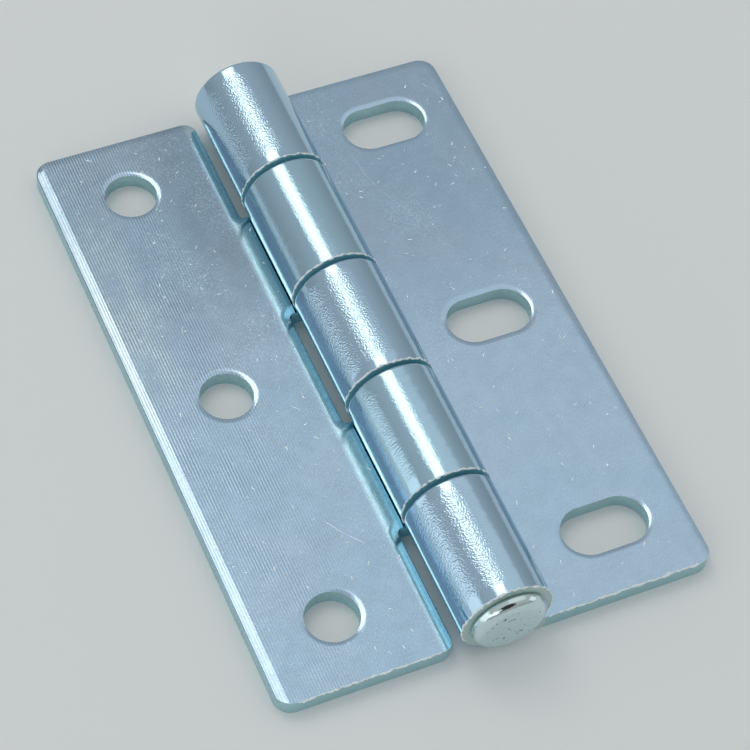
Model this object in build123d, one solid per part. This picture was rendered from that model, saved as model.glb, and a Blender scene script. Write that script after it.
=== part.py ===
from build123d import *
import os
from math import asin, degrees

# Five-knuckle butt hinge of stamped and rolled sheet, lying open and flat. Millimetres.
# X runs across the leaves, Y along the pin with the pin's head at -Y, Z up from the leaves' undersides.

# Leaves
leaf_length = 75.0       # along the pin
leaf_reach = 25.0        # from the pin's axis to a leaf's outer long edge
sheet = 2.0              # thickness of both leaves
outer_corner = 2.0       # radius of the corners away from the pin
inner_corner = 1.5       # radius of the corners beside the end knuckles
notch_corner = 0.6       # radius where a notch meets the side of a knuckle
edge_roll = 0.85         # width of the slope that stamping leaves along the upper long and rear edges
edge_droop = 0.19        # how far that slope drops at the edge
edge_ease = 3.0          # radius where the flat top bends into the slope
edge_round = 0.15        # radius where the slope meets the side of the sheet
rim_roll = 0.4           # width of the same slope at the rims of the screw holes
rim_droop = 0.12         # how far that slope drops at the rims
rim_ease = 1.5           # radius where the flat top bends into that slope

# Pin
pin_diameter = 6.0
head_diameter = 8.5      # button head at the front end
head_height = 1.4
head_rim = 0.35          # from the front knuckle to the head's widest line
head_shoulder = 1.2      # from the head's widest line in to its flat face
head_undercut = 0.4      # from the head's widest line in to where it sits on the front knuckle
tail_diameter = 7.8      # low riveted dome at the rear end
tail_height = 0.6

# Knuckles
knuckle_count = 5        # the slotted leaf has the first, the last and every other one
knuckle_roll = 0.4       # rounding of a knuckle's rear rim

# Clearances
pin_clearance = 0.15     # radial, between the pin and the rolled knuckles
knuckle_gap = 0.5        # between neighbouring knuckles
notch_clearance = 0.2    # from the barrel's widest line to the notch edge that faces it
curl_gap = 0.5           # from a curl's free edge to its own leaf

# Screw holes
hole_count = 3           # along each leaf
hole_diameter = 6.0
hole_edge = 9.1          # from the hole's centre to the outer long edge
slot_length = 10.0       # across the leaf
slot_width = 6.0
slot_edge = 9.3          # from the slot's centre to the outer long edge
end_margin = 8.0         # from the end holes' centres to the leaf's ends

# Derived sizes
bore_radius = pin_diameter / 2 + pin_clearance
barrel_radius = bore_radius + sheet
notch_line = barrel_radius + notch_clearance
half_length = leaf_length / 2
knuckle_pitch = leaf_length / knuckle_count
curl_end = degrees(asin(1 - (sheet + curl_gap) / barrel_radius))
run_out = outer_corner + edge_roll
slotted_knuckles = range(0, knuckle_count, 2)
round_hole_knuckles = range(1, knuckle_count, 2)
same_place = 1e-4        # two points closer than this are one


def knuckle_ends(index):
    """Front and rear ends of a knuckle along the pin, counted from the front."""
    front = -half_length + index * knuckle_pitch
    rear = front + knuckle_pitch
    if index > 0:
        front += knuckle_gap / 2
    if index < knuckle_count - 1:
        rear -= knuckle_gap / 2
    return front, rear


def rectangle(x_low, x_high, y_low, y_high):
    """A face on the ground plane between four lines."""
    size = Rectangle(x_high - x_low, y_high - y_low)
    return Pos((x_low + x_high) / 2, (y_low + y_high) / 2) * size


def corners_at(plan, y_places):
    """Corners on the notch line of a leaf's plan, at the given distances along the pin."""
    on_line = [corner for corner in plan.vertices() if abs(corner.X - notch_line) < same_place]
    return [corner for corner in on_line if min(abs(corner.Y - y) for y in y_places) < same_place]


def leaf_outline(knuckles, front_extra=0.0):
    """Plan of a leaf that reaches towards +X, with a tab to the pin's axis for each of its knuckles."""
    front_line = -half_length - front_extra
    plan = rectangle(notch_line, leaf_reach, front_line, half_length)
    for index in knuckles:
        front, rear = knuckle_ends(index)
        if index == 0:
            front = front_line
        plan += rectangle(0, notch_line, front, rear)
    knuckle_sides = [y for index in knuckles for y in knuckle_ends(index)]
    notch_ends = corners_at(plan, knuckle_sides)
    plan = fillet(notch_ends, notch_corner)
    beside_end_knuckles = corners_at(plan, [front_line, half_length])
    if beside_end_knuckles:
        plan = fillet(beside_end_knuckles, inner_corner)
    outer = plan.vertices().group_by(Axis.X)[-1]
    return fillet(outer, outer_corner)


def lies_level(edge, height):
    """Whether both ends and the middle of an edge are at one height."""
    return all(abs((edge @ place).Z - height) < same_place for place in (0, 0.5, 1))


def leaf_plate(knuckles):
    """Flat part of a leaf: a slab rolled along all its upper edges, then sheared to a sharp front edge."""
    slab = extrude(leaf_outline(knuckles, front_extra=run_out), sheet)
    top = slab.faces().sort_by(Axis.Z)[-1]
    rolled = [edge for edge in top.edges() if edge.center().X > same_place]
    slab = chamfer(rolled, edge_roll, edge_droop, reference=top)
    top = slab.faces().sort_by(Axis.Z)[-1]
    slab = fillet([edge for edge in top.edges() if edge.center().X > same_place], edge_ease)
    drop_line = sheet - edge_droop
    slab = fillet([edge for edge in slab.edges() if lies_level(edge, drop_line)], edge_round)
    return slab & extrude(leaf_outline(knuckles), sheet)


def curl(index):
    """One rolled knuckle: the sheet carries on from under the pin and wraps round to its own leaf again."""
    front, rear = knuckle_ends(index)
    section_plane = Plane((0, rear, barrel_radius), x_dir=(1, 0, 0), z_dir=(0, -1, 0))
    sweep_angle = 270 + curl_end
    outside = CenterArc((0, 0), barrel_radius, -curl_end, sweep_angle)
    inside = CenterArc((0, 0), bore_radius, -curl_end, sweep_angle)
    free_edge = Line(outside @ 0, inside @ 0)
    root = Line(outside @ 1, inside @ 1)
    section = make_face([outside, inside, free_edge, root])
    rolled = extrude(section_plane * section, rear - front)
    rear_end = rolled.faces().sort_by(Axis.Y)[-1]
    rear_arcs = rear_end.edges().filter_by(GeomType.CIRCLE)
    return fillet(rear_arcs.sort_by(SortBy.RADIUS)[-1], knuckle_roll)


def hole_places():
    """Distances along the pin of the screw holes' centres."""
    reach = half_length - end_margin
    step = 2 * reach / (hole_count - 1)
    return [-reach + number * step for number in range(hole_count)]


def leaf(knuckles, opening, opening_x):
    """A leaf that reaches towards +X, with its knuckles and its row of screw openings."""
    body = leaf_plate(knuckles)
    for y in hole_places():
        body -= Pos(opening_x, y) * extrude(opening, sheet)
    top = body.faces().sort_by(Axis.Z)[-1]
    rims = [edge for wire in top.inner_wires() for edge in wire.edges()]
    body = chamfer(rims, rim_roll, rim_droop, reference=top)
    top = body.faces().sort_by(Axis.Z)[-1]
    rims = [edge for wire in top.inner_wires() for edge in wire.edges()]
    body = fillet(rims, rim_ease)
    for index in knuckles:
        body += curl(index)
    return body


def hinge_pin():
    """Pin turned about its axis, with a bulging button head in front and a riveted dome behind."""
    radius = pin_diameter / 2
    front = -half_length
    rear = half_length
    rim_line = front - head_rim
    widest = head_diameter / 2
    flat_edge = (widest - head_shoulder, rim_line)
    neck = (widest - head_undercut, rim_line)
    head_crown = head_height - head_rim
    shoulder = EllipticalCenterArc(flat_edge, head_shoulder, head_crown, start_angle=-90, arc_size=90)
    undercut = EllipticalCenterArc(neck, head_undercut, head_rim, start_angle=0, arc_size=90)
    tail_top = (0, rear + tail_height)
    tail_rim = (tail_diameter / 2, rear)
    outline = [
        Line((0, front - head_height), shoulder @ 0),
        shoulder,
        undercut,
        Polyline(undercut @ 1, (radius, front), (radius, rear), tail_rim),
        TangentArc(tail_top, tail_rim, tangent=(1, 0)),
        Line(tail_top, (0, front - head_height)),
    ]
    profile = Pos(0, 0, barrel_radius) * make_face(outline)
    return revolve(profile, Axis((0, 0, barrel_radius), (0, 1, 0)))


round_hole = Circle(hole_diameter / 2)
crosswise_slot = SlotOverall(slot_length, slot_width)

slotted_leaf = leaf(slotted_knuckles, crosswise_slot, leaf_reach - slot_edge)
round_hole_leaf = mirror(leaf(round_hole_knuckles, round_hole, leaf_reach - hole_edge), about=Plane.YZ)

os.makedirs("parts", exist_ok=True)
export_step(slotted_leaf, "parts/slotted_leaf.step")
export_step(round_hole_leaf, "parts/round_hole_leaf.step")
export_step(hinge_pin(), "parts/hinge_pin.step")
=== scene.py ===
from math import cos, pi, radians, sin
from random import Random
from types import SimpleNamespace

import bpy
from mathutils import Matrix, Vector


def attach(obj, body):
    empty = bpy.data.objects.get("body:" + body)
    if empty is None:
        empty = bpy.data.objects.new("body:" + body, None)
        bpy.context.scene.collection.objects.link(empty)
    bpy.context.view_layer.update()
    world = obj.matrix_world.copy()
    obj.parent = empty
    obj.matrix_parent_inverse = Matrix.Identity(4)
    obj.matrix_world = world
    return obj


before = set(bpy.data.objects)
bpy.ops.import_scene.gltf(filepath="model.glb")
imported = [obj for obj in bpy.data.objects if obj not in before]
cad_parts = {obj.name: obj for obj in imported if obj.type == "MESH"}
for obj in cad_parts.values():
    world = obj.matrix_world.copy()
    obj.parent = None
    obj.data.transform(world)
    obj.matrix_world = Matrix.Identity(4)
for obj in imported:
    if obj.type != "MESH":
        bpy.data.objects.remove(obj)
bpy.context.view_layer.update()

# One millimetre in metres
MM = 0.001

# Sizes of the hinge that the details follow, in millimetres
HALF_LENGTH = 37.5
LEAF_REACH = 25.0
OUTER_CORNER = 2.0
INNER_CORNER = 1.5
SHEET = 2.0
BARREL_RADIUS = 5.15
NOTCH_LINE = 5.35
KNUCKLE_COUNT = 5
KNUCKLE_GAP = 0.5
KNUCKLE_PITCH = 2 * HALF_LENGTH / KNUCKLE_COUNT
HEAD_HEIGHT = 1.4
OPENING_ROWS = (-29.5, 0.0, 29.5)

# Photograph's frame and viewpoint, in pixels, degrees and metres
PICTURE_SIDE = 750
FOCAL_PIXELS = 2756.2
SENSOR = 36.0
CAMERA_AZIMUTH = -29.9
CAMERA_ELEVATION = 54.73
CAMERA_ROLL = 7.864
CAMERA_DISTANCE = 305.06 * MM
CAMERA_TARGET = Vector((1.076, -1.884, 0.0)) * MM
CLIP_NEAR = 0.01
CLIP_FAR = 10.0

# Zinc tints, linear
BLUE_ZINC = (0.435, 0.625, 0.80, 1.0)
LILAC_ZINC = (0.465, 0.625, 0.79, 1.0)
GREY_ZINC = (0.435, 0.61, 0.74, 1.0)
GREEN_CURL_ZINC = (0.45, 0.68, 0.83, 1.0)
BLUE_CURL_ZINC = (0.46, 0.665, 0.83, 1.0)
# Painted reflection of the leaf in the curls' flank
FLANK_REFLECTION_ZINC = (0.36, 0.63, 0.76, 1.0)
FROST_ZINC = (0.62, 0.81, 0.96, 1.0)
# Painted reflection of the barrel's bright flank on the drawn leaf beside its notch
NOTCH_REFLECTION_ZINC = (0.66, 0.88, 0.97, 1.0)
SHEARED_ZINC = (0.47, 0.70, 0.71, 1.0)
END_ZINC = (0.52, 0.68, 0.65, 1.0)
# Painted shade and reflection on the curls' sheared ends inside the joints
JOINT_SHADE_ZINC = (0.30, 0.66, 0.76, 1.0)
BURR_ZINC = (0.86, 0.97, 1.0, 1.0)
PIN_ZINC = (0.68, 0.83, 0.85, 1.0)
PIN_PIT = (0.10, 0.14, 0.15, 1.0)
WHITE = (1.0, 1.0, 1.0, 1.0)

# What differs between the two leaves: shares from 0 to 1, depths in millimetres. The last share is painted
# shade beside the rear knuckles.
# The drawn leaf's notch tint is painted reflection of the barrel's flank; the plain leaf's is its own blue.
DRAWN_LEAF = {
    "name": "drawn_zinc", "curl_tint": GREEN_CURL_ZINC, "notch_reflection_tint": NOTCH_REFLECTION_ZINC, "line_share": 1.0,
    "peel_depth": 0.011, "grain_depth": 0.005, "speckle_range": 0.12, "painted_shade_share": 0.20,
}
PLAIN_LEAF = {
    "name": "plain_zinc", "curl_tint": BLUE_CURL_ZINC, "notch_reflection_tint": BLUE_ZINC, "line_share": 0.12,
    "peel_depth": 0.032, "grain_depth": 0.004, "speckle_range": 0.08, "painted_shade_share": 0.0,
}

# A range below is where a change starts and ends, then its values there if they are not 0 and 1.
# ALONG and ACROSS are distances along the pin and sideways from its axis, in millimetres.
# TURN is degrees round a curl, from its crown towards -X. FACING is a part of the surface's unit normal.

# Zones of a leaf
CURL_RISE = (SHEET + 0.02, SHEET + 0.2)
CURL_ACROSS = (BARREL_RADIUS, BARREL_RADIUS - 0.3)
UPRIGHT_FACING = (0.35, 0.1)
ENDWISE_FACING = (0.8, 0.95)
OUTERMOST_ALONG = (HALF_LENGTH - 0.3, HALF_LENGTH - 0.1)
FLANK_REFLECTION_TURN = (76, 90)
NOTCH_REFLECTION_ACROSS = (7.0, 6.2)

# Drift and flecks of the tint
DRIFT_NOISE = {"scale": 0.07, "detail": 3.0}
DRIFT_RANGE = (0.38, 0.66)
FLECK_NOISE = {"scale": 0.9, "detail": 4.0, "roughness": 0.65}
FLECK_RANGE = (0.45, 0.75, 0.0, 0.55)
SHEARED_SHARE = 0.85

# Draw lines
LINE_STRETCH = (1.0, 0.06, 0.0)
LINE_WAVE = {"Scale": 0.952, "Distortion": 1.2, "Detail": 2.0, "Detail Scale": 0.6}
LINE_PATCH_STRETCH = (0.3, 0.12, 0.0)
LINE_PATCH_NOISE = {"scale": 1.0, "detail": 4.0}
LINE_PATCH_RANGE = (0.36, 0.6, 0.3, 1.0)
LINE_ACROSS = (10.0, 19.0, 0.12, 1.0)
LINE_ALONG = (-36.0, -6.0, 0.35, 1.0)
LINE_DEPTH = 0.005
LINE_MIDDLE = 0.58
LINE_CONTRAST = 0.65

# Speckle, clouds, frost, a paler strip, and painted shade on the inner side and the outer edge
SPECKLE_STRETCH = (1.0, 0.5, 1.0)
SPECKLE_NOISE = {"scale": 6.5, "detail": 3.0, "roughness": 0.7}
SPECKLE_SPAN = (0.25, 0.75)
CLOUD_NOISE = {"scale": 0.42, "detail": 4.0, "roughness": 0.6}
CLOUD_SPAN = (0.3, 0.7)
CLOUD_SHARE = 0.4
FROST_PATCH_STRETCH = (0.16, 0.10, 0.0)
FROST_PATCH_NOISE = {"scale": 1.0, "detail": 2.0}
FROST_PATCH_RANGE = (0.40, 0.62)
FROST_NOISE = {"scale": 3.6, "detail": 3.0, "roughness": 0.7}
FROST_RANGE = (0.50, 0.62)
FROST_ALONG = (-20.0, 16.0, 0.25, 1.0)
FROST_ACROSS = (20.0, 12.0, 0.8, 1.5)
FROST_STRENGTH = 5.0
PALE_STRIP_ACROSS = (17.0, 21.5)
PALE_STRIP_FRONT_ALONG = (-8.0, 10.0)
PALE_STRIP_REAR_ALONG = (31.0, 24.0)
PALE_STRIP_SHARE = 0.6
# Painted shade on the inner side of the drawn leaf beside the rear knuckles
PAINTED_SHADE_ACROSS = (17.0, 8.0)
PAINTED_SHADE_ALONG = (0.0, 26.0)
# Painted shade over the outer edge's highlight, deeper towards the rear
EDGE_ACROSS = (23.8, 24.4)
EDGE_ALONG = (-16.0, 24.0)
EDGE_FRONT_PAINTED_SHADE = 0.20
EDGE_REAR_PAINTED_SHADE = 0.36

# Relief of a leaf, depths in millimetres
STREAK_STRETCH = (4.5, 1.6, 4.5)
STREAK_NOISE = {"scale": 1.0, "detail": 3.0, "roughness": 0.6}
PEEL_TURN = (-12, 2)
PEEL_FADE_TURN = (82, 60)
PEEL_FROM_END = (0.8, 2.2)
PEEL_CELLS = 5.2
PEEL_SMOOTHNESS = 0.5
TEAR_STRETCH = (3.0, 3.0, 1.1)
TEAR_NOISE = {"scale": 1.0, "detail": 4.0, "roughness": 0.7}
TEAR_DEPTH = 0.05
SLOW_WAVE_NOISE = {"scale": 0.16, "detail": 1.0}
SLOW_WAVE_DEPTH = 0.03
DENT_NOISE = {"scale": 0.9, "detail": 2.0}
DENT_DEPTH = 0.012

# Roughness and metal of a leaf
FLAT_ROUGHNESS = (0.3, 0.75, 0.15, 0.21)
CURL_ROUGHNESS_CHANGE = -0.05
SHEARED_ROUGHNESS_CHANGE = 0.22
BARE_END_METALLIC = 0.35

# Pin
PIT_NOISE = {"scale": 2.3, "detail": 1.5, "roughness": 0.5}
PIT_RANGE = (0.64, 0.68)
PIT_PATCH_NOISE = {"scale": 0.35, "detail": 1.0}
PIT_PATCH_RANGE = (0.44, 0.6)
PIT_DEPTH = 0.04
PIN_FACE_ALONG = (-HALF_LENGTH - HEAD_HEIGHT + 0.06, -HALF_LENGTH - HEAD_HEIGHT + 0.01)
PIN_FINE_NOISE = {"scale": 3.0, "detail": 3.0}
PIN_FINE_DEPTH = 0.012
PIN_SHOULDER_ROUGHNESS = 0.10
PIN_FACE_ROUGHNESS = 0.22

# Metal of the burrs, nicks and scuffs
TORN_NOISE = {"scale": 5.0, "detail": 2.0}
TORN_TINT_RANGE = (0.2, 0.4)
TORN_ROUGHNESS = (0.2, 0.8, 0.5, 0.3)
TORN_METALLIC = 0.1
SCRAPED_METALLIC = 0.95

# Burrs on the knuckles' front rims and the leaves' front edges, in millimetres and degrees
RIM_INSET = 0.05
RIM_DEPTH = 0.04
RIM_START = -27
RIM_END = 205
RIM_STEPS = 72
EDGE_SINK = 0.02
BURR_BEAD = 0.15
BURR_WANDER = (0.10, 0.50, 0.10)
BURR_STEP = 0.10
BURR_RAGGEDNESS = 1800.0
BURR_SEED = 3.0
BURR_NOISE_DETAIL = 2.0
BURR_NOISE_MIDDLE = (0.5, 0.5, 0.5)
BURR_THICKNESS = (0.35, 0.65, 0.35, 1.0)
BURR_SIDES = 6

# Nicks, with their number per square metre, lengths in millimetres and other sizes as shares of the length
NICK_DENSITY = {"round_hole_leaf": 1.6e5, "slotted_leaf": 1.2e5}
NICK_SHORTEST = 0.08
NICK_LONGEST = 0.40
NICK_WIDTH = 0.25
NICK_HEIGHT = 0.14
NICK_LARGEST_TURN = (0.2, 0.2, 2 * pi)
NICK_SEED = 7
TOP_TOLERANCE = 0.02

# Scuffs: two long scratches, and short strokes clear of the screw openings, in millimetres
LONG_SCRATCH = [
    (10.2, 26.6, SHEET), (10.5, 23.6, SHEET), (11.2, 20.7, SHEET), (12.5, 17.8, SHEET), (13.8, 14.7, SHEET),
]
SHORT_SCRATCH = [(-12.2, -18.5, SHEET), (-10.9, -20.6, SHEET), (-9.2, -22.6, SHEET)]
SCUFF_BEAD = 0.045
SCUFF_WANDER = (0.12, 0.12, 0.02)
SCUFF_RAGGEDNESS = 900.0
STROKE_COUNT = 26
STROKE_ACROSS = (8.0, 22.5)
STROKE_ALONG = (-35.0, 34.0)
STROKE_LENGTH = (0.4, 2.0)
STROKE_SEED = 11
OPENING_ACROSS = (10.0, 21.5)
OPENING_CLEARANCE = 5.5

# Floor and surroundings, with directions as azimuth and elevation in degrees
FLOOR_GREY = (0.86, 0.92, 0.94, 1.0)
FLOOR_ROUGHNESS = 0.7
FLOOR_HALF = 2.0
HORIZON_GREY = 0.36
ZENITH_GREY = 0.54
DARK_SHARE = 0.08
DARK_DIRECTION = (185, 42)
DARK_CORE = 16
DARK_REACH = 28

# Soft panels, with directions as above, places, distances and sizes (width and height) in metres
HINGE_PLACE = Vector((0.0, 0.0, 0.0))
KEY_DIRECTION = (-15, 57)
KEY_DISTANCE = 0.6
KEY_SIZE = (0.23, 0.36)
KEY_BRIGHTNESS = 1.65
KEY_TINT = (1.0, 0.90, 0.80)
TOP_PLACE = Vector((0.20, 0.01, 0.32))
TOP_AIM = Vector((0.20, 0.01, 0.0))
TOP_SIZE = (0.40, 0.40)
TOP_BRIGHTNESS = 0.21
LEFT_PLACE = Vector((-0.35, -0.07, 0.10))
LEFT_AIM = Vector((0.0, -0.07, 0.10))
LEFT_SIZE = (0.52, 0.24)
LEFT_BRIGHTNESS = 0.7
RIGHT_DIRECTION = (105, 14)
RIGHT_SIZE = (0.50, 0.30)
RIGHT_BRIGHTNESS = 0.5
FRONT_DIRECTION = (215, 26)
FRONT_SIZE = (0.40, 0.35)
FRONT_BRIGHTNESS = 0.9
SIDE_DISTANCE = 0.8

scene = bpy.context.scene
scene.view_settings.view_transform = "Standard"


def direction(azimuth, elevation):
    """Unit vector towards a place in the studio; azimuth runs from +Y towards +X, in degrees."""
    turn = radians(azimuth)
    rise = radians(elevation)
    return Vector((sin(turn) * cos(rise), cos(turn) * cos(rise), sin(rise)))


def add_camera():
    """A camera that sees the hinge as the photograph does."""
    turn = radians(CAMERA_AZIMUTH)
    lean = radians(CAMERA_ROLL)
    back = direction(180 - CAMERA_AZIMUTH, CAMERA_ELEVATION)
    level = Vector((cos(turn), sin(turn), 0.0))
    rise = back.cross(level)
    right = level * cos(lean) + rise * sin(lean)
    up = rise * cos(lean) - level * sin(lean)
    place = CAMERA_TARGET + back * CAMERA_DISTANCE
    data = bpy.data.cameras.new("camera")
    data.sensor_width = SENSOR
    data.lens = FOCAL_PIXELS / PICTURE_SIDE * SENSOR
    data.clip_start = CLIP_NEAR
    data.clip_end = CLIP_FAR
    camera = bpy.data.objects.new("camera", data)
    turned = Matrix((right, up, back)).transposed().to_4x4()
    camera.matrix_world = Matrix.Translation(place) @ turned
    scene.collection.objects.link(camera)
    scene.camera = camera


def socket_called(sockets, identifier):
    """The socket with an identifier, for nodes that have several sockets of one name."""
    return next(socket for socket in sockets if socket.identifier == identifier)


class NodeBench:
    """Adds nodes to one tree. An input that is a socket is joined, anything else is set on the node."""

    def __init__(self, tree):
        self.tree = tree

    def feed(self, value, target):
        if isinstance(value, bpy.types.NodeSocket):
            self.tree.links.new(value, target)
        else:
            target.default_value = value

    def add(self, kind, inputs=None, **settings):
        node = self.tree.nodes.new(kind)
        for name, value in settings.items():
            setattr(node, name, value)
        for name, value in (inputs or {}).items():
            self.feed(value, node.inputs[name])
        return node

    def math(self, operation, first, second=0.0):
        node = self.add("ShaderNodeMath", {0: first, 1: second}, operation=operation)
        return node.outputs[0]

    def product(self, first, *others):
        """All the values multiplied together."""
        for value in others:
            first = self.math("MULTIPLY", first, value)
        return first

    def ramp(self, value, start, end, low=0.0, high=1.0):
        """Smooth step of a value between two places."""
        node = self.add(
            "ShaderNodeMapRange",
            {"Value": value, "From Min": start, "From Max": end, "To Min": low, "To Max": high},
            interpolation_type="SMOOTHSTEP",
        )
        return node.outputs["Result"]

    def turn_ramp(self, angle, start, end):
        """Smooth step of an angle between two places in degrees."""
        return self.ramp(angle, radians(start), radians(end))

    def noise(self, vector, scale, detail, roughness=0.5):
        node = self.add(
            "ShaderNodeTexNoise",
            {"Vector": vector, "Scale": scale, "Detail": detail, "Roughness": roughness},
        )
        return node.outputs["Fac"]

    def mix(self, share, first, second):
        node = self.add("ShaderNodeMix", data_type="RGBA")
        for identifier, value in (("Factor_Float", share), ("A_Color", first), ("B_Color", second)):
            self.feed(value, socket_called(node.inputs, identifier))
        return socket_called(node.outputs, "Result_Color")

    def stretch(self, vector, scale):
        node = self.add("ShaderNodeVectorMath", {0: vector, 1: scale}, operation="MULTIPLY")
        return node.outputs["Vector"]

    def split(self, vector):
        return self.add("ShaderNodeSeparateXYZ", {"Vector": vector}).outputs


def new_material(name):
    """A metal with its bench and its shader."""
    material = bpy.data.materials.new(name)
    material.use_nodes = True
    bench = NodeBench(material.node_tree)
    shader = material.node_tree.nodes["Principled BSDF"]
    shader.inputs["Metallic"].default_value = 1.0
    return material, bench, shader


def raise_surface(bench, shader, height):
    """Bump of a height in millimetres."""
    bump = bench.add("ShaderNodeBump", {"Height": height, "Distance": MM})
    bench.feed(bump.outputs["Normal"], shader.inputs["Normal"])


def place_in_mm(bench):
    """Object coordinates in millimetres."""
    source = bench.add("ShaderNodeTexCoord")
    return bench.stretch(source.outputs["Object"], (1 / MM, 1 / MM, 1 / MM))


def leaf_zones(bench):
    """Places on a leaf, and how far each is on the curls, the flat, a sheared side or a curl's end."""
    place = place_in_mm(bench)
    axes = bench.split(place)
    facing = bench.split(bench.add("ShaderNodeTexCoord").outputs["Normal"])
    across = bench.math("ABSOLUTE", axes["X"])

    # Curls, and how far round from their crown towards -X
    above_sheet = bench.ramp(axes["Z"], *CURL_RISE)
    under_pin = bench.ramp(across, *CURL_ACROSS)
    curl = bench.math("MAXIMUM", above_sheet, under_pin)
    flat = bench.math("SUBTRACT", 1.0, curl)
    over_axis = bench.math("SUBTRACT", axes["Z"], BARREL_RADIUS)
    to_left = bench.math("MULTIPLY", axes["X"], -1.0)
    round_angle = bench.math("ARCTAN2", to_left, over_axis)

    # Sheared sides of the sheet, and the sheared ends of the curls
    upright = bench.ramp(bench.math("ABSOLUTE", facing["Z"]), *UPRIGHT_FACING)
    endwise = bench.ramp(bench.math("ABSOLUTE", facing["Y"]), *ENDWISE_FACING)
    bare_end = bench.product(endwise, curl)
    sheared = bench.math("MAXIMUM", bench.product(upright, flat), bare_end)
    smooth_flat = bench.product(flat, bench.math("SUBTRACT", 1.0, sheared))

    return SimpleNamespace(
        place=place, across=across, along=axes["Y"], round_angle=round_angle, curl=curl, flat=flat,
        bare_end=bare_end, sheared=sheared, smooth_flat=smooth_flat,
    )


def leaf_tint(bench, zones, fleck, curl_tint, notch_reflection_tint):
    """Colour that drifts between blue, lilac and grey, with tints of its own on curls and sheared sides,
    painted reflection on the curls' flank and beside the notch, and painted shade on the curls' ends inside
    the joints.
    """
    drift = bench.noise(zones.place, **DRIFT_NOISE)
    tint = bench.mix(bench.ramp(drift, *DRIFT_RANGE), BLUE_ZINC, LILAC_ZINC)
    tint = bench.mix(bench.ramp(fleck, *FLECK_RANGE), tint, GREY_ZINC)
    tint = bench.mix(zones.curl, tint, curl_tint)
    # Painted reflection of the leaf on the curls' flank
    flank_reflection = bench.product(zones.curl, bench.turn_ramp(zones.round_angle, *FLANK_REFLECTION_TURN))
    tint = bench.mix(flank_reflection, tint, FLANK_REFLECTION_ZINC)
    # Painted reflection of the barrel's flank on the flat beside the notch
    notch_reflection = bench.product(zones.flat, bench.ramp(zones.across, *NOTCH_REFLECTION_ACROSS))
    tint = bench.mix(notch_reflection, tint, notch_reflection_tint)
    tint = bench.mix(bench.product(zones.sheared, SHEARED_SHARE), tint, SHEARED_ZINC)
    # Sheared ends of the curls: their own tint at the barrel's two ends, painted shade and reflection inside
    # the joints
    outermost = bench.ramp(bench.math("ABSOLUTE", zones.along), *OUTERMOST_ALONG)
    return bench.mix(zones.bare_end, tint, bench.mix(outermost, JOINT_SHADE_ZINC, END_ZINC))


def draw_lines(bench, zones, line_share):
    """Lines along the pin: their wave, the patches that break them up, and their strength at each place."""
    wave = bench.add(
        "ShaderNodeTexWave",
        {"Vector": bench.stretch(zones.place, LINE_STRETCH), **LINE_WAVE},
        wave_type="BANDS", bands_direction="X", wave_profile="SIN",
    ).outputs["Fac"]
    patch_noise = bench.noise(bench.stretch(zones.place, LINE_PATCH_STRETCH), **LINE_PATCH_NOISE)
    patch = bench.ramp(patch_noise, *LINE_PATCH_RANGE)
    outer_side = bench.ramp(zones.across, *LINE_ACROSS)
    away_from_front = bench.ramp(zones.along, *LINE_ALONG)
    area = bench.product(patch, outer_side, zones.smooth_flat, away_from_front, line_share)
    return SimpleNamespace(wave=wave, patch=patch, area=area)


def add_frost(bench, zones, lines, tint, line_share, speckle_range):
    """Pale frosty flecks on the flat, and a paler strip beside the outer edge of the drawn leaf."""
    patch_noise = bench.noise(bench.stretch(zones.place, FROST_PATCH_STRETCH), **FROST_PATCH_NOISE)
    frost_patch = bench.ramp(patch_noise, *FROST_PATCH_RANGE)
    frost_area = bench.product(frost_patch, bench.ramp(zones.along, *FROST_ALONG))
    flecks = bench.ramp(bench.noise(zones.place, **FROST_NOISE), *FROST_RANGE)
    towards_barrel = bench.ramp(zones.across, *FROST_ACROSS)
    frost = bench.product(flecks, frost_area, FROST_STRENGTH * speckle_range, towards_barrel)
    tint = bench.mix(bench.product(frost, zones.smooth_flat), tint, FROST_ZINC)

    strip = bench.product(
        bench.ramp(zones.across, *PALE_STRIP_ACROSS),
        bench.ramp(zones.along, *PALE_STRIP_FRONT_ALONG),
        bench.ramp(zones.along, *PALE_STRIP_REAR_ALONG),
    )
    pale_strip = bench.product(strip, lines.patch, PALE_STRIP_SHARE * line_share)
    return bench.mix(bench.product(pale_strip, zones.smooth_flat), tint, FROST_ZINC)


def plating_shade(bench, zones, speckle_range):
    """Fine speckle and clouds of the plating on the flat."""
    cloud_range = CLOUD_SHARE * speckle_range
    speckle_noise = bench.noise(bench.stretch(zones.place, SPECKLE_STRETCH), **SPECKLE_NOISE)
    speckle = bench.ramp(speckle_noise, *SPECKLE_SPAN, 1.0 - speckle_range, 1.0 + speckle_range)
    cloud_noise = bench.noise(zones.place, **CLOUD_NOISE)
    cloud = bench.ramp(cloud_noise, *CLOUD_SPAN, 1.0 - cloud_range, 1.0 + cloud_range)
    return bench.mix(zones.curl, bench.product(speckle, cloud), WHITE)


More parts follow.
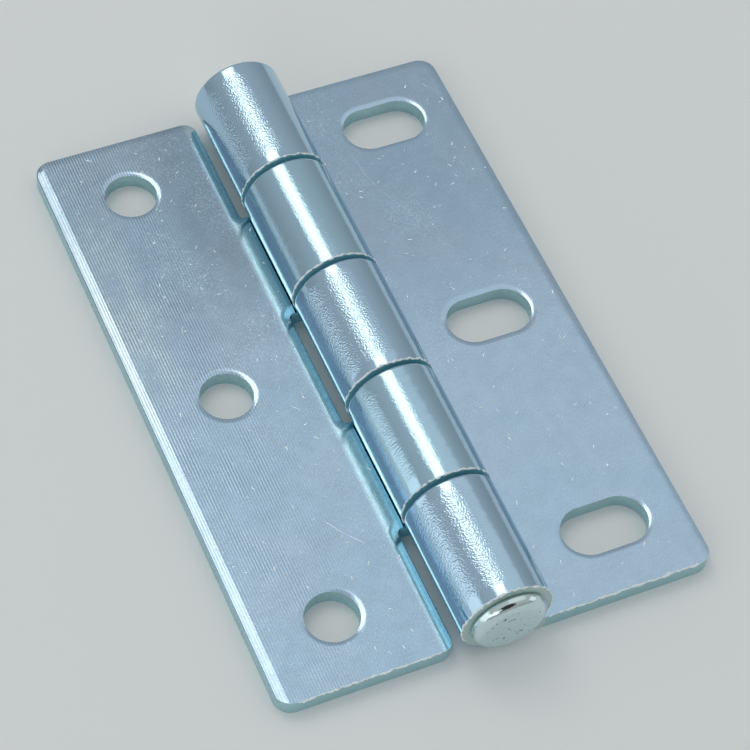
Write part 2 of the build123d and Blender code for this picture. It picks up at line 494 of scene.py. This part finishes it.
def lines_and_painted_shade(bench, zones, lines, line_share, painted_shade_share):
    """Shade of the draw lines, with painted shade on the inner side beside the rear knuckles and over the
    outer edge.
    """
    line_shade = bench.product(bench.math("SUBTRACT", lines.wave, LINE_MIDDLE), lines.area, LINE_CONTRAST)
    line_shade = bench.math("ADD", line_shade, 1.0)
    # Painted shade on the inner side beside the rear knuckles
    inner_side = bench.ramp(zones.across, *PAINTED_SHADE_ACROSS)
    rear_side = bench.ramp(zones.along, *PAINTED_SHADE_ALONG)
    painted_shade_area = bench.product(inner_side, rear_side, zones.flat)
    painted_shade = bench.ramp(painted_shade_area, 0.0, 1.0, 1.0, 1.0 - painted_shade_share)
    # Painted shade over the outer edge's highlight, deeper towards the rear
    edge_front_shade_share = EDGE_FRONT_PAINTED_SHADE * line_share
    edge_rear_shade_share = EDGE_REAR_PAINTED_SHADE * line_share
    outer_edge = bench.product(bench.ramp(zones.across, *EDGE_ACROSS), zones.smooth_flat)
    edge_painted_shade_share = bench.ramp(zones.along, *EDGE_ALONG, edge_front_shade_share, edge_rear_shade_share)
    edge_painted_shade = bench.math("SUBTRACT", 1.0, bench.product(outer_edge, edge_painted_shade_share))
    return bench.product(line_shade, painted_shade, edge_painted_shade)


def leaf_height(bench, zones, lines, grain_depth, peel_depth):
    """Relief of a leaf in millimetres."""
    # Fine grain of the plating, in short streaks along the pin
    streaks = bench.noise(bench.stretch(zones.place, STREAK_STRETCH), **STREAK_NOISE)

    # Peel that bending leaves on the stretched side of the curls, away from their ends
    peel_side = bench.turn_ramp(zones.round_angle, *PEEL_TURN)
    peel_fade = bench.turn_ramp(zones.round_angle, *PEEL_FADE_TURN)
    from_front = bench.math("ADD", zones.along, HALF_LENGTH)
    from_end = bench.math("PINGPONG", from_front, KNUCKLE_PITCH / 2)
    peel_share = bench.product(peel_side, peel_fade, zones.curl, bench.ramp(from_end, *PEEL_FROM_END))
    peel_cells = bench.add(
        "ShaderNodeTexVoronoi",
        {"Vector": zones.place, "Scale": PEEL_CELLS, "Smoothness": PEEL_SMOOTHNESS},
        feature="SMOOTH_F1",
    ).outputs["Distance"]

    # Tear marks on the sheared sides, slow waves in the sheet and shallow dents in the curls
    tears = bench.noise(bench.stretch(zones.place, TEAR_STRETCH), **TEAR_NOISE)
    slow_waves = bench.noise(zones.place, **SLOW_WAVE_NOISE)
    dents = bench.noise(zones.place, **DENT_NOISE)

    height = bench.product(lines.wave, lines.area, LINE_DEPTH)
    for part in (
        bench.product(streaks, grain_depth),
        bench.product(peel_cells, peel_share, peel_depth),
        bench.product(tears, zones.sheared, TEAR_DEPTH),
        bench.product(slow_waves, SLOW_WAVE_DEPTH),
        bench.product(dents, zones.curl, DENT_DEPTH),
    ):
        height = bench.math("ADD", height, part)
    return height


def leaf_zinc(name, curl_tint, notch_reflection_tint, line_share, peel_depth, grain_depth, speckle_range, painted_shade_share):
    """Bright zinc on rolled sheet: draw lines along the pin, grain on the curls, dull sheared sides."""
    material, bench, shader = new_material(name)
    zones = leaf_zones(bench)
    fleck = bench.noise(zones.place, **FLECK_NOISE)
    lines = draw_lines(bench, zones, line_share)

    tint = leaf_tint(bench, zones, fleck, curl_tint, notch_reflection_tint)
    tint = add_frost(bench, zones, lines, tint, line_share, speckle_range)
    tint = bench.stretch(tint, plating_shade(bench, zones, speckle_range))
    shade = lines_and_painted_shade(bench, zones, lines, line_share, painted_shade_share)
    shaded = bench.add("ShaderNodeVectorMath", {0: tint, "Scale": shade}, operation="SCALE")
    bench.feed(shaded.outputs["Vector"], shader.inputs["Base Color"])

    raise_surface(bench, shader, leaf_height(bench, zones, lines, grain_depth, peel_depth))

    # Rolled curls shine, the flat is softer, the sheared sides are dull
    rough = bench.ramp(fleck, *FLAT_ROUGHNESS)
    rough = bench.math("ADD", rough, bench.product(zones.curl, CURL_ROUGHNESS_CHANGE))
    rough = bench.math("ADD", rough, bench.product(zones.sheared, SHEARED_ROUGHNESS_CHANGE))
    bench.feed(rough, shader.inputs["Roughness"])
    metal = bench.ramp(zones.bare_end, 0.0, 1.0, 1.0, BARE_END_METALLIC)
    bench.feed(metal, shader.inputs["Metallic"])
    return material


def pin_zinc():
    """Plated pin: shiny shoulder, slightly pitted end face."""
    material, bench, shader = new_material("pin_zinc")
    place = place_in_mm(bench)
    end_face = bench.ramp(bench.split(place)["Y"], *PIN_FACE_ALONG)
    pits = bench.ramp(bench.noise(place, **PIT_NOISE), *PIT_RANGE)
    pit_area = bench.ramp(bench.noise(place, **PIT_PATCH_NOISE), *PIT_PATCH_RANGE)
    pit = bench.product(pits, pit_area, end_face)
    bench.feed(bench.mix(pit, PIN_ZINC, PIN_PIT), shader.inputs["Base Color"])
    fine = bench.product(bench.noise(place, **PIN_FINE_NOISE), PIN_FINE_DEPTH)
    raise_surface(bench, shader, bench.math("SUBTRACT", fine, bench.product(pit, PIT_DEPTH)))
    rough = bench.ramp(end_face, 0.0, 1.0, PIN_SHOULDER_ROUGHNESS, PIN_FACE_ROUGHNESS)
    bench.feed(rough, shader.inputs["Roughness"])
    return material


def burr_zinc(name, metallic):
    """Bright metal of burrs, nicks and scuffs."""
    material, bench, shader = new_material(name)
    change = bench.noise(place_in_mm(bench), **TORN_NOISE)
    tint = bench.mix(bench.ramp(change, *TORN_TINT_RANGE), BLUE_CURL_ZINC, BURR_ZINC)
    bench.feed(tint, shader.inputs["Base Color"])
    bench.feed(bench.ramp(change, *TORN_ROUGHNESS), shader.inputs["Roughness"])
    shader.inputs["Metallic"].default_value = metallic
    return material


def floor_paint():
    """Pale matt paint of the floor."""
    material, _, shader = new_material("pale_floor")
    shader.inputs["Metallic"].default_value = 0.0
    shader.inputs["Base Color"].default_value = FLOOR_GREY
    shader.inputs["Roughness"].default_value = FLOOR_ROUGHNESS
    return material


def add_floor():
    """A plain square floor at the height of the leaves' undersides."""
    corners = [
        (-FLOOR_HALF, -FLOOR_HALF, 0), (FLOOR_HALF, -FLOOR_HALF, 0),
        (FLOOR_HALF, FLOOR_HALF, 0), (-FLOOR_HALF, FLOOR_HALF, 0),
    ]
    mesh = bpy.data.meshes.new("floor")
    mesh.from_pydata(corners, [], [(0, 1, 2, 3)])
    mesh.materials.append(floor_paint())
    floor = bpy.data.objects.new("floor", mesh)
    scene.collection.objects.link(floor)


def add_surroundings():
    """Grey surroundings, lighter overhead, with a soft dark round patch on the side of the camera."""
    world = bpy.data.worlds.new("studio")
    world.use_nodes = True
    bench = NodeBench(world.node_tree)
    heading = bench.add("ShaderNodeTexCoord").outputs["Generated"]
    grey = bench.ramp(bench.split(heading)["Z"], 0.0, 1.0, HORIZON_GREY, ZENITH_GREY)
    nearness = bench.add(
        "ShaderNodeVectorMath",
        {0: heading, 1: direction(*DARK_DIRECTION)},
        operation="DOT_PRODUCT",
    ).outputs["Value"]
    dark = bench.ramp(nearness, cos(radians(DARK_REACH)), cos(radians(DARK_CORE)))
    grey = bench.product(grey, bench.ramp(dark, 0.0, 1.0, 1.0, DARK_SHARE))
    bench.feed(grey, world.node_tree.nodes["Background"].inputs["Color"])
    scene.world = world


def add_softbox(name, place, aim, size, brightness, tint=(1.0, 1.0, 1.0)):
    """A soft panel at a place in the studio that faces another place, in metres."""
    width, height = size
    data = bpy.data.lights.new(name, "AREA")
    data.shape = "RECTANGLE"
    data.size = width
    data.size_y = height
    data.energy = brightness * width * height * pi
    data.color = tint
    panel = bpy.data.objects.new(name, data)
    panel.location = place
    panel.rotation_euler = (place - aim).to_track_quat("Z", "Y").to_euler()
    scene.collection.objects.link(panel)


def add_panels():
    """A warm key panel behind the hinge, and four soft panels round it."""
    key_place = direction(*KEY_DIRECTION) * KEY_DISTANCE
    right_place = direction(*RIGHT_DIRECTION) * SIDE_DISTANCE
    front_place = direction(*FRONT_DIRECTION) * SIDE_DISTANCE
    add_softbox("key_panel", key_place, HINGE_PLACE, KEY_SIZE, KEY_BRIGHTNESS, KEY_TINT)
    add_softbox("top_panel", TOP_PLACE, TOP_AIM, TOP_SIZE, TOP_BRIGHTNESS)
    add_softbox("left_panel", LEFT_PLACE, LEFT_AIM, LEFT_SIZE, LEFT_BRIGHTNESS)
    add_softbox("right_panel", right_place, HINGE_PLACE, RIGHT_SIZE, RIGHT_BRIGHTNESS)
    add_softbox("front_panel", front_place, HINGE_PLACE, FRONT_SIZE, FRONT_BRIGHTNESS)


def paint(node_name, material):
    """Gives a CAD node its material."""
    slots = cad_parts[node_name].data.materials
    slots.clear()
    slots.append(material)


def new_tree(name, inputs):
    """An empty geometry tree with named inputs. Gives its bench, its inputs and its output node."""
    tree = bpy.data.node_groups.new(name, "GeometryNodeTree")
    tree.interface.new_socket("Geometry", in_out="INPUT", socket_type="NodeSocketGeometry")
    for label, kind in inputs.items():
        tree.interface.new_socket(label, in_out="INPUT", socket_type="NodeSocket" + kind)
    tree.interface.new_socket("Geometry", in_out="OUTPUT", socket_type="NodeSocketGeometry")
    bench = NodeBench(tree)
    return bench, bench.add("NodeGroupInput").outputs, bench.add("NodeGroupOutput")


def close_tree(bench, shape, material, outcome):
    """Turns what a tree made into plain painted geometry."""
    plain = bench.add("GeometryNodeRealizeInstances", {"Geometry": shape}).outputs["Geometry"]
    painted = bench.add("GeometryNodeSetMaterial", {"Geometry": plain, "Material": material})
    bench.feed(painted.outputs["Geometry"], outcome.inputs["Geometry"])


def burr_tree():
    """A ragged bead of metal along a path of edges."""
    bench, given, outcome = new_tree("ragged_burr", {
        "Bead": "Float", "Wander": "Vector", "Step": "Float", "Raggedness": "Float", "Seed": "Float",
        "Material": "Material",
    })
    path = bench.add("GeometryNodeMeshToCurve", {"Mesh": given["Geometry"]}).outputs["Curve"]
    fine = bench.add("GeometryNodeResampleCurve", {"Curve": path, "Length": given["Step"]}, mode="LENGTH")
    place = bench.add("GeometryNodeInputPosition").outputs["Position"]
    chance = bench.add(
        "ShaderNodeTexNoise",
        {"Vector": place, "W": given["Seed"], "Scale": given["Raggedness"], "Detail": BURR_NOISE_DETAIL},
        noise_dimensions="4D",
    ).outputs
    swing = bench.add(
        "ShaderNodeVectorMath", {0: chance["Color"], 1: BURR_NOISE_MIDDLE}, operation="SUBTRACT",
    ).outputs["Vector"]
    shift = bench.stretch(swing, given["Wander"])
    bent = bench.add("GeometryNodeSetPosition", {"Geometry": fine.outputs["Curve"], "Offset": shift})
    thickness = bench.product(bench.ramp(chance["Fac"], *BURR_THICKNESS), given["Bead"])
    section = bench.add("GeometryNodeCurvePrimitiveCircle", {"Resolution": BURR_SIDES, "Radius": 1.0})
    tube = bench.add(
        "GeometryNodeCurveToMesh",
        {"Curve": bent.outputs["Geometry"], "Profile Curve": section.outputs["Curve"], "Scale": thickness,
         "Fill Caps": True},
    )
    facets = bench.add(
        "GeometryNodeSetShadeSmooth",
        {"Geometry": tube.outputs["Mesh"], "Shade Smooth": False},
    )
    close_tree(bench, facets.outputs["Geometry"], given["Material"], outcome)
    return bench.tree


def nick_tree():
    """Small raised nicks scattered over the flat top of a leaf."""
    bench, given, outcome = new_tree("scattered_nicks", {
        "Leaf": "Object", "Density": "Float", "Top": "Float", "Shortest": "Float", "Longest": "Float",
        "Seed": "Int", "Material": "Material",
    })
    leaf = bench.add("GeometryNodeObjectInfo", {"Object": given["Leaf"]}).outputs["Geometry"]
    place = bench.add("GeometryNodeInputPosition").outputs["Position"]
    height = bench.split(place)["Z"]
    on_top = bench.add(
        "FunctionNodeCompare",
        {"A": height, "B": given["Top"], "Epsilon": TOP_TOLERANCE * MM},
        data_type="FLOAT", operation="EQUAL",
    ).outputs["Result"]
    spots = bench.add(
        "GeometryNodeDistributePointsOnFaces",
        {"Mesh": leaf, "Selection": on_top, "Density": given["Density"], "Seed": given["Seed"]},
    ).outputs["Points"]
    length = bench.add("FunctionNodeRandomValue", {"Seed": given["Seed"]}, data_type="FLOAT")
    bench.feed(given["Shortest"], socket_called(length.inputs, "Min_001"))
    bench.feed(given["Longest"], socket_called(length.inputs, "Max_001"))
    size = socket_called(length.outputs, "Value_001")
    shape = bench.add("ShaderNodeCombineXYZ", {
        "X": size, "Y": bench.product(size, NICK_WIDTH), "Z": bench.product(size, NICK_HEIGHT),
    }).outputs["Vector"]
    turn = bench.add(
        "FunctionNodeRandomValue",
        {0: (0.0, 0.0, 0.0), 1: NICK_LARGEST_TURN, "Seed": given["Seed"]},
        data_type="FLOAT_VECTOR",
    ).outputs["Value"]
    turned = bench.add("FunctionNodeEulerToRotation", {"Euler": turn}).outputs["Rotation"]
    nick = bench.add("GeometryNodeMeshIcoSphere", {"Radius": 1.0, "Subdivisions": 1}).outputs["Mesh"]
    placed = bench.add(
        "GeometryNodeInstanceOnPoints",
        {"Points": spots, "Instance": nick, "Rotation": turned, "Scale": shape},
    )
    close_tree(bench, placed.outputs["Instances"], given["Material"], outcome)
    return bench.tree


def path_mesh(name, runs):
    """Edges through lists of points in millimetres."""
    points = []
    edges = []
    for run in runs:
        first = len(points)
        points.extend(Vector(point) * MM for point in run)
        edges.extend((number, number + 1) for number in range(first, len(points) - 1))
    mesh = bpy.data.meshes.new(name)
    mesh.from_pydata(points, edges, [])
    return mesh


def grow(name, mesh, tree, body, inputs):
    """Runs a geometry tree on a mesh and keeps the result as a plain mesh that moves with a body."""
    seed_object = bpy.data.objects.new(name + "_source", mesh)
    scene.collection.objects.link(seed_object)
    modifier = seed_object.modifiers.new("shape", "NODES")
    modifier.node_group = tree
    for item in tree.interface.items_tree:
        if item.in_out == "INPUT" and item.name in inputs:
            modifier[item.identifier] = inputs[item.name]
    graph = bpy.context.evaluated_depsgraph_get()
    shape = bpy.data.meshes.new_from_object(seed_object.evaluated_get(graph))
    seed_object.modifiers.remove(modifier)
    bpy.data.objects.remove(seed_object)
    shape.name = name
    piece = bpy.data.objects.new(name, shape)
    scene.collection.objects.link(piece)
    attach(piece, body)


def knuckle_front(index):
    """Front end of a knuckle along the pin, counted from the front."""
    front = -HALF_LENGTH + index * KNUCKLE_PITCH
    if index > 0:
        front += KNUCKLE_GAP / 2
    return front


def rim_path(index, side):
    """Front rim of a knuckle, from the curl's free edge over the top and round underneath."""
    radius = BARREL_RADIUS - RIM_INSET
    along = knuckle_front(index) + RIM_DEPTH
    points = []
    for number in range(RIM_STEPS + 1):
        angle = radians(RIM_START + (RIM_END - RIM_START) * number / RIM_STEPS)
        points.append((side * radius * cos(angle), along, BARREL_RADIUS + radius * sin(angle)))
    return points


def front_edge_path(side, inner):
    """Upper front edge of a leaf, from beside the barrel to the outer corner."""
    outer = LEAF_REACH - OUTER_CORNER
    height = SHEET - EDGE_SINK
    return [(side * inner, -HALF_LENGTH, height), (side * outer, -HALF_LENGTH, height)]


def stroke_paths(chance, side):
    """Short straight scuffs over the flat top of a leaf, clear of its row of screw openings."""
    opening_inner, opening_outer = OPENING_ACROSS
    paths = []
    while len(paths) < STROKE_COUNT:
        x = chance.uniform(*STROKE_ACROSS)
        y = chance.uniform(*STROKE_ALONG)
        turn = chance.uniform(0, 2 * pi)
        length = chance.uniform(*STROKE_LENGTH)
        from_row = min(abs(y - row) for row in OPENING_ROWS)
        if opening_inner < x < opening_outer and from_row < OPENING_CLEARANCE:
            continue
        end = (side * (x + length * cos(turn) / 2), y + length * sin(turn) / 2, SHEET)
        paths.append([(side * x, y, SHEET), end])
    return paths


add_camera()
add_floor()
add_surroundings()
add_panels()
paint("round_hole_leaf", leaf_zinc(**DRAWN_LEAF))
paint("slotted_leaf", leaf_zinc(**PLAIN_LEAF))
paint("hinge_pin", pin_zinc())

torn = burr_zinc("torn_zinc", TORN_METALLIC)
scraped = burr_zinc("scraped_zinc", SCRAPED_METALLIC)
burr = burr_tree()
nick = nick_tree()
burr_inputs = {
    "Bead": BURR_BEAD * MM, "Wander": Vector(BURR_WANDER) * MM, "Step": BURR_STEP * MM,
    "Raggedness": BURR_RAGGEDNESS, "Seed": BURR_SEED, "Material": torn,
}
scuff_inputs = {
    "Bead": SCUFF_BEAD * MM, "Wander": Vector(SCUFF_WANDER) * MM, "Step": BURR_STEP * MM,
    "Raggedness": SCUFF_RAGGEDNESS, "Seed": BURR_SEED, "Material": scraped,
}
for side, leaf, body, indexes, inner in (
    (-1, "round_hole_leaf", "round_hole_side", range(1, KNUCKLE_COUNT, 2), NOTCH_LINE + INNER_CORNER),
    (1, "slotted_leaf", "slotted_side", range(0, KNUCKLE_COUNT, 2), BARREL_RADIUS),
):
    rims = [rim_path(index, side) for index in indexes]
    grow(leaf + "_rim_burrs", path_mesh("rims", rims), burr, body, burr_inputs)
    edge = [front_edge_path(side, inner)]
    grow(leaf + "_edge_burr", path_mesh("edge", edge), burr, body, burr_inputs)
    nick_inputs = {
        "Leaf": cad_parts[leaf], "Density": NICK_DENSITY[leaf], "Top": SHEET * MM,
        "Shortest": NICK_SHORTEST * MM, "Longest": NICK_LONGEST * MM, "Seed": NICK_SEED, "Material": scraped,
    }
    grow(leaf + "_nicks", path_mesh("nothing", []), nick, body, nick_inputs)
chance = Random(STROKE_SEED)
slotted_scuffs = [LONG_SCRATCH] + stroke_paths(chance, 1)
round_hole_scuffs = [SHORT_SCRATCH] + stroke_paths(chance, -1)
grow("slotted_leaf_scuffs", path_mesh("scuffs", slotted_scuffs), burr, "slotted_side", scuff_inputs)
grow("round_hole_leaf_scuffs", path_mesh("scuffs", round_hole_scuffs), burr, "round_hole_side", scuff_inputs)
